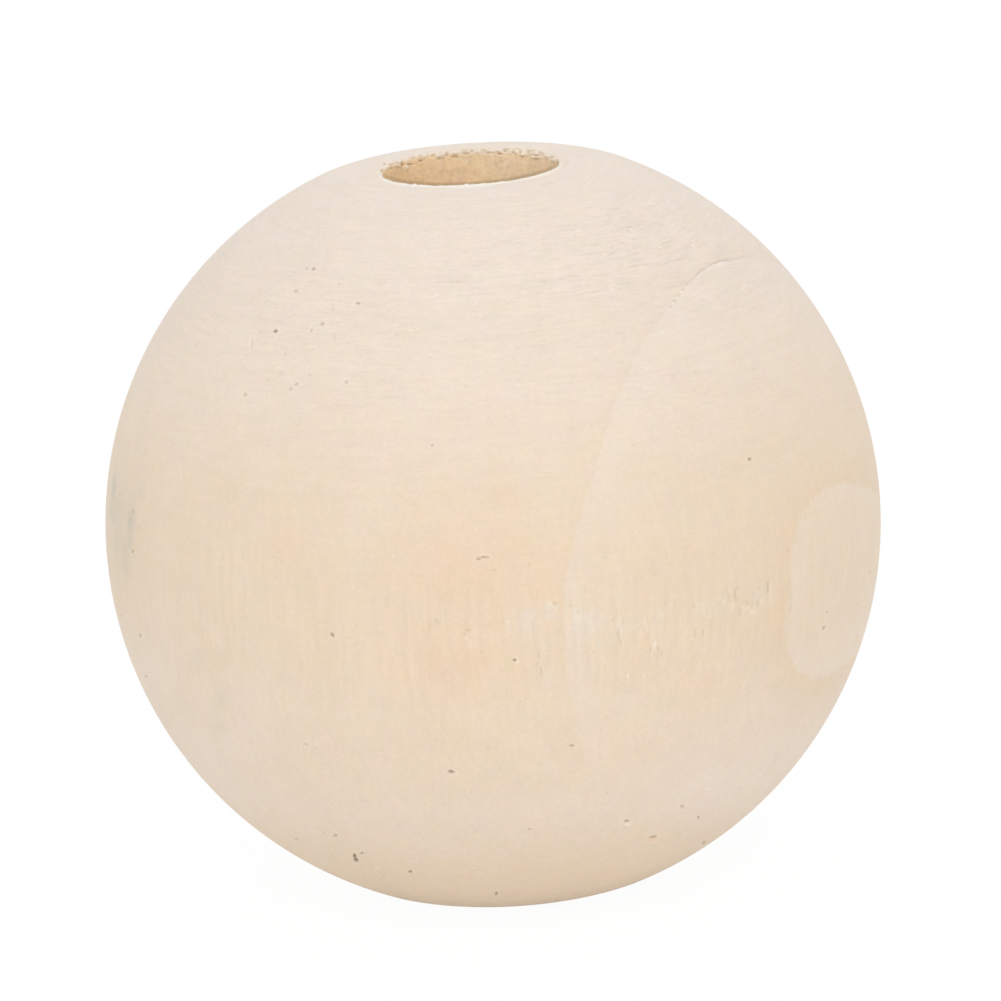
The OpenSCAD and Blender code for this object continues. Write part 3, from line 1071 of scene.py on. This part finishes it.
def finishWood():
    material = bpy.data.materials.new("turnedLimewood")
    material.use_nodes = True
    tree = material.node_tree
    half = ballRadius / mm
    attribute = {name: addNode(tree, "Attribute", output="Fac", attribute_name=name) for name in layer}
    coords = addNode(tree, "TexCoord", output="Object")
    # millimetres from the ball's middle
    place = addNode(tree, "Mapping", {"Vector": coords, "Location": (0, 0, -ballCentre.z / mm),
                                      "Scale": (1 / mm, 1 / mm, 1 / mm)})
    axes = addNode(tree, "SeparateXYZ", {0: place}).node.outputs

    def stepShares(value, reach, stops):
        # up to three shares that change with a value, by stops from -reach to reach
        at = addNode(tree, "MapRange", {"Value": value, "From Min": -reach, "From Max": reach})
        ramp = addNode(tree, "ValToRGB", {0: at})
        elements = ramp.node.color_ramp.elements
        while len(elements) > 1:
            elements.remove(elements[0])
        for i, (stop, *shares) in enumerate(stops):
            position = (stop + reach) / (2 * reach)
            element = elements[0] if i == 0 else elements.new(position)
            element.position = position
            element.color = (shares + [0, 0])[:3] + [1]
        return addNode(tree, "SeparateColor", {0: ramp}).node.outputs

    def speckle(where, size):
        # small spots, each paler or darker than the wood
        cells = addNode(tree, "TexVoronoi", {"Vector": where, "Scale": 1 / size}).node.outputs
        spot = addNode(tree, "MapRange", {"Value": cells["Distance"], **wood["spot"]})
        chance = addNode(tree, "SeparateColor", {0: cells["Color"]})
        chance = addNode(tree, "Math", {0: chance, 1: 0.5}, operation="SUBTRACT")
        return addNode(tree, "Math", {0: spot, 1: chance, 2: 0.5}, operation="MULTIPLY_ADD")

    along = addNode(tree, "VectorMath", {0: place, 1: (1, 1, wood["fibreStretch"])}, operation="MULTIPLY")
    fibres = addNode(tree, "TexNoise", {"Vector": along, "Scale": 1 / wood["fibreWidth"], "Detail": 4,
                                        "Roughness": 0.6})
    speckles = addNode(tree, "TexNoise", {"Vector": place, "Scale": 1 / wood["speckle"], "Detail": 2})
    mottling = addNode(tree, "TexNoise", {"Vector": place, "Scale": 1 / wood["mottle"], "Detail": 3})
    # tool lines run round the bore, so they follow the arc from its mouth down the ball
    flat = addNode(tree, "VectorMath", {0: place, 1: (1, 1, 0)}, operation="MULTIPLY")
    outward = addNode(tree, "VectorMath", {0: flat}, output="Value", operation="LENGTH")
    polar = addNode(tree, "Math", {0: outward, 1: axes["Z"]}, operation="ARCTAN2")
    arc = addNode(tree, "Math", {0: polar, 1: half}, operation="MULTIPLY")
    drift = addNode(tree, "VectorMath", {0: flat, 1: wood["toolDrift"]}, operation="MULTIPLY")
    lift = addNode(tree, "CombineXYZ", {"Z": arc})
    turned = addNode(tree, "VectorMath", {0: drift, 1: lift}, operation="ADD")
    toolLines = addNode(tree, "TexNoise", {"Vector": turned, "Scale": 1 / wood["toolSpacing"], "Detail": 2})

    # thin dark scratches of the tool, broken along their length, and tiny pits and bright fibre ends
    broken = addNode(tree, "VectorMath", {0: turned, 1: wood["scratchBreaks"]}, operation="MULTIPLY")
    fineLines = addNode(tree, "TexNoise", {"Vector": broken, "Scale": 1 / wood["scratchWidth"], "Detail": 1})
    scratches = addNode(tree, "MapRange", {"Value": fineLines, **wood["scratch"]})
    specks = speckle(place, wood["speckCell"])
    short = addNode(tree, "VectorMath", {0: turned, 1: wood["dashBreaks"]}, operation="MULTIPLY")
    dashes = speckle(short, wood["dashCell"])
    blotches = addNode(tree, "TexNoise", {"Vector": place, "Scale": 1 / wood["blotch"], "Detail": 0},
                       output="Color")

    # growth rings: the wood is fresh just inside an edge, and late just outside it
    wander = addNode(tree, "MapRange", {"Value": fibres, **wood["ringWander"]})
    ragged = {name: addNode(tree, "Math", {0: attribute[name], 1: wander}, operation="ADD")
              for name in ("growth", "arc", "oval")}
    arcFoot = addNode(tree, "MapRange", {"Value": axes["Z"], **wood["arcFoot"]})
    arcShares = [addNode(tree, "Math", {0: share, 1: arcFoot}, operation="MULTIPLY")
                 for share in stepShares(ragged["arc"], wood["ringReach"], wood["arcStops"])[:2]]
    ovalShares = stepShares(ragged["oval"], wood["ringReach"], wood["ovalStops"])
    faintStops = [(edge + after, share) for edge in rings["faint"] for after, share in wood["faintStops"]]
    faint = stepShares(ragged["growth"], wood["growthReach"], faintStops)[0]
    fresh = addNode(tree, "Math", {0: arcShares[0], 1: ovalShares[0]}, operation="ADD")
    fresh = addNode(tree, "Math", {0: fresh, 1: faint}, operation="ADD")
    late = addNode(tree, "Math", {0: arcShares[1], 1: ovalShares[1]}, operation="ADD")

    # the belt of side grain is warmer than the end grain above it; towards the bottom end the wood is warmer
    # and darker again, partly painted shade
    belt = stepShares(axes["Z"], half, wood["beltStops"])[0]
    # painted light on the top round the mouth
    paintedTopLight = stepShares(axes["Z"], half, wood["paintedTopLightStops"])[0]
    # paler patches take warmth off: partly tint, partly painted reflection
    warmth = addNode(tree, "Math", {0: belt, 1: attribute["paleTintAndReflection"]}, operation="SUBTRACT", use_clamp=True)
    comb = addNode(tree, "MapRange", {"Value": fibres, **wood["comb"]})
    tear = addNode(tree, "Math", {0: attribute["torn"], 1: comb}, operation="MULTIPLY")
    soak = addNode(tree, "Math", {0: attribute["stain"], 1: comb}, operation="MULTIPLY")
    # the bore's wall: painted shade, a dark band on its far side just below the line of sight over the near
    # edge; browner on one side
    across = addNode(tree, "Math", {0: axes["Y"]}, operation="ABSOLUTE")
    slope = sightSlope * (2 + wood["sightShare"] * bead["mouthRadius"] / boreRadius)
    sight = addNode(tree, "Math", {0: across, 1: slope, 2: axes["Z"]}, operation="MULTIPLY_ADD")
    overEdge = addNode(tree, "Math", {0: sight, 1: beadHeight / 2 / mm}, operation="SUBTRACT")
    shade = attribute["drilled"]
    for value, name in ((overEdge, "bandTop"), (overEdge, "bandFoot"), (axes["Y"], "bandSide")):
        share = addNode(tree, "MapRange", {"Value": value, **wood[name]})
        shade = addNode(tree, "Math", {0: shade, 1: share}, operation="MULTIPLY")
    side = addNode(tree, "MapRange", {"Value": axes["X"], **wood["brownSide"]})
    brown = addNode(tree, "Math", {0: attribute["drilled"], 1: side}, operation="MULTIPLY")
    colour = linear(wood["pale"])
    layers = [("warm", warmth), ("paintedTopLight", paintedTopLight), ("peach", attribute["peach"]), ("fresh", fresh),
              ("late", late), ("torn", tear), ("stain", soak), ("drilled", attribute["drilled"]),
              ("wallBrown", brown), ("poreAndShade", shade), ("fibreAndHighlight", attribute["pale"]), ("crumb", attribute["crumb"]),
              ("poreAndShade", attribute["dark"])]
    for name, amount in layers:
        sockets = {0: amount, 6: colour, 7: linear(wood[name])}
        colour = addNode(tree, "Mix", sockets, output=2, data_type="RGBA")

    # fine tone: fibres show on the belt, tool lines on the upper half
    sideGrain = addNode(tree, "MapRange", {"Value": axes["Z"], **wood["sideGrain"]})
    upper = addNode(tree, "MapRange", {"Value": axes["Z"], **wood["upper"]})
    streaked = addNode(tree, "Math", {0: attribute["streaks"], 1: wood["streakGain"], 2: sideGrain},
                       operation="MULTIPLY_ADD")
    lined = addNode(tree, "Math", {0: upper, 1: attribute["lined"]}, operation="ADD")
    wall = addNode(tree, "TexNoise", {"Vector": place, "Scale": 1 / wood["wallGrain"], "Detail": 4,
                                      "Roughness": 0.65})
    parts = [(fibres, "fibreTone", streaked), (toolLines, "toolTone", upper), (fineLines, "fineTone", lined),
             (wall, "wallTone", attribute["drilled"]), (speckles, "speckleTone", 1.0),
             (specks, "speckTone", 1.0), (dashes, "dashTone", lined), (mottling, "mottleTone", 1.0)]
    tone = 1.0
    for pattern, name, where in parts:
        centred = addNode(tree, "Math", {0: pattern, 1: 0.5}, operation="SUBTRACT")
        scaled = addNode(tree, "Math", {0: centred, 1: 2 * wood[name]}, operation="MULTIPLY")
        tone = addNode(tree, "Math", {0: scaled, 1: where, 2: tone}, operation="MULTIPLY_ADD")
    scored = addNode(tree, "Math", {0: scratches, 1: attribute["lined"]}, operation="MULTIPLY")
    tone = addNode(tree, "Math", {0: scored, 1: -wood["scratchTone"], 2: tone}, operation="MULTIPLY_ADD")
    hue = addNode(tree, "VectorMath", {0: blotches, 1: (0.5, 0.5, 0.5)}, operation="SUBTRACT")
    hue = addNode(tree, "VectorMath", {0: hue, 1: wood["blotchTone"]}, operation="MULTIPLY")
    hue = addNode(tree, "VectorMath", {0: hue, 1: tone}, operation="ADD")
    toned = addNode(tree, "VectorMath", {0: colour, 1: hue}, operation="MULTIPLY")
    relief = addNode(tree, "Math", {0: fibres, 1: sideGrain, 2: toolLines}, operation="MULTIPLY_ADD")
    bump = addNode(tree, "Bump", {"Strength": wood["bumpStrength"], "Distance": wood["bumpHeight"],
                                  "Height": relief})
    shader = tree.nodes["Principled BSDF"]
    tree.links.new(toned, shader.inputs["Base Color"])
    tree.links.new(bump, shader.inputs["Normal"])
    shader.inputs["Roughness"].default_value = wood["roughness"]
    shader.inputs["Sheen Weight"].default_value = wood["sheen"]
    return material


mesh.materials.append(finishWood())
print("wood finished")

# White floor: it shows white to the camera and keeps the bead's soft shadow
stageSpec = {
    "floorSize": 2.0,
    "floorDrop": 0.02 * mm,   # so that it shares no plane with the bead's end
    "floorColour": "#fbfbfb",
    "shadowShare": 0.06,   # how much of the floor's own shading the camera sees
    "floorGlow": 0.02,     # light that comes up through the floor, as from a light table
    "glowUnder": 0.07,     # and how much more of it comes up right under the bead
    "glowReach": (4.5 * mm, 9 * mm),
    "floorWhite": 1.01,
    "worldStrength": 0.735,
    "worldWhite": 1.0,     # what the camera sees of it
    # lamps: place, size and power
    "lamps": {
        "softbox": ((0.012, -0.34, 0.245), 0.3, 0.42),
        "rimRight": ((0.26, 0.26, 0.06), 0.2, 0.11),
        "rimLeft": ((-0.26, 0.26, 0.14), 0.2, 0.05),
    },
}


def layFloor():
    bmFloor = bmesh.new()
    bmesh.ops.create_grid(bmFloor, x_segments=1, y_segments=1, size=stageSpec["floorSize"] / 2,
                          matrix=Matrix.Translation((0, 0, -stageSpec["floorDrop"])))
    floorMesh = bpy.data.meshes.new("floor")
    bmFloor.to_mesh(floorMesh)
    bmFloor.free()
    floor = bpy.data.objects.new("floor", floorMesh)
    scene.collection.objects.link(floor)
    paint = bpy.data.materials.new("whiteBoard")
    paint.use_nodes = True
    nodes = paint.node_tree
    nodes.nodes.clear()
    path = addNode(nodes, "LightPath").node.outputs
    seen = path["Is Camera Ray"]
    for ray in ("Is Glossy Ray", "Is Transmission Ray"):
        seen = addNode(nodes, "Math", {0: seen, 1: path[ray]}, operation="MAXIMUM")
    share = addNode(nodes, "Math", {0: seen, 1: 1 - stageSpec["shadowShare"]}, operation="MULTIPLY")
    shaded = addNode(nodes, "BsdfDiffuse", {"Color": linear(stageSpec["floorColour"])})
    spot = addNode(nodes, "TexCoord", output="Object")
    away = addNode(nodes, "VectorMath", {0: spot}, output="Value", operation="LENGTH")
    inner, outer = stageSpec["glowReach"]
    level = addNode(nodes, "MapRange", {"Value": away, "From Min": inner, "From Max": outer,
                                        "To Min": stageSpec["floorGlow"] + stageSpec["glowUnder"],
                                        "To Max": stageSpec["floorGlow"]})
    glow = addNode(nodes, "Emission", {"Color": (1, 1, 1, 1), "Strength": level})
    lit = addNode(nodes, "AddShader", {0: shaded, 1: glow})
    white = addNode(nodes, "Emission", {"Color": (1, 1, 1, 1), "Strength": stageSpec["floorWhite"]})
    mixed = addNode(nodes, "MixShader", {0: share, 1: lit, 2: white})
    addNode(nodes, "OutputMaterial", {"Surface": mixed})
    floorMesh.materials.append(paint)


def lightStudio():
    world = bpy.data.worlds.new("studio")
    scene.world = world
    world.use_nodes = True
    nodes = world.node_tree
    nodes.nodes.clear()
    path = addNode(nodes, "LightPath").node.outputs
    fill = addNode(nodes, "Background", {"Color": (1, 1, 1, 1), "Strength": stageSpec["worldStrength"]})
    white = addNode(nodes, "Background", {"Color": (1, 1, 1, 1), "Strength": stageSpec["worldWhite"]})
    mixed = addNode(nodes, "MixShader", {0: path["Is Camera Ray"], 1: fill, 2: white})
    addNode(nodes, "OutputWorld", {"Surface": mixed})
    for name, (place, size, power) in stageSpec["lamps"].items():
        data = bpy.data.lights.new(name, "AREA")
        data.shape = "SQUARE"
        data.size = size
        data.energy = power
        lamp = bpy.data.objects.new(name, data)
        lamp.location = place
        lamp.rotation_euler = (ballCentre - lamp.location).to_track_quat("-Z", "Y").to_euler()
        scene.collection.objects.link(lamp)


layFloor()
lightStudio()
scene.view_settings.view_transform = "Standard"
print("studio lit")
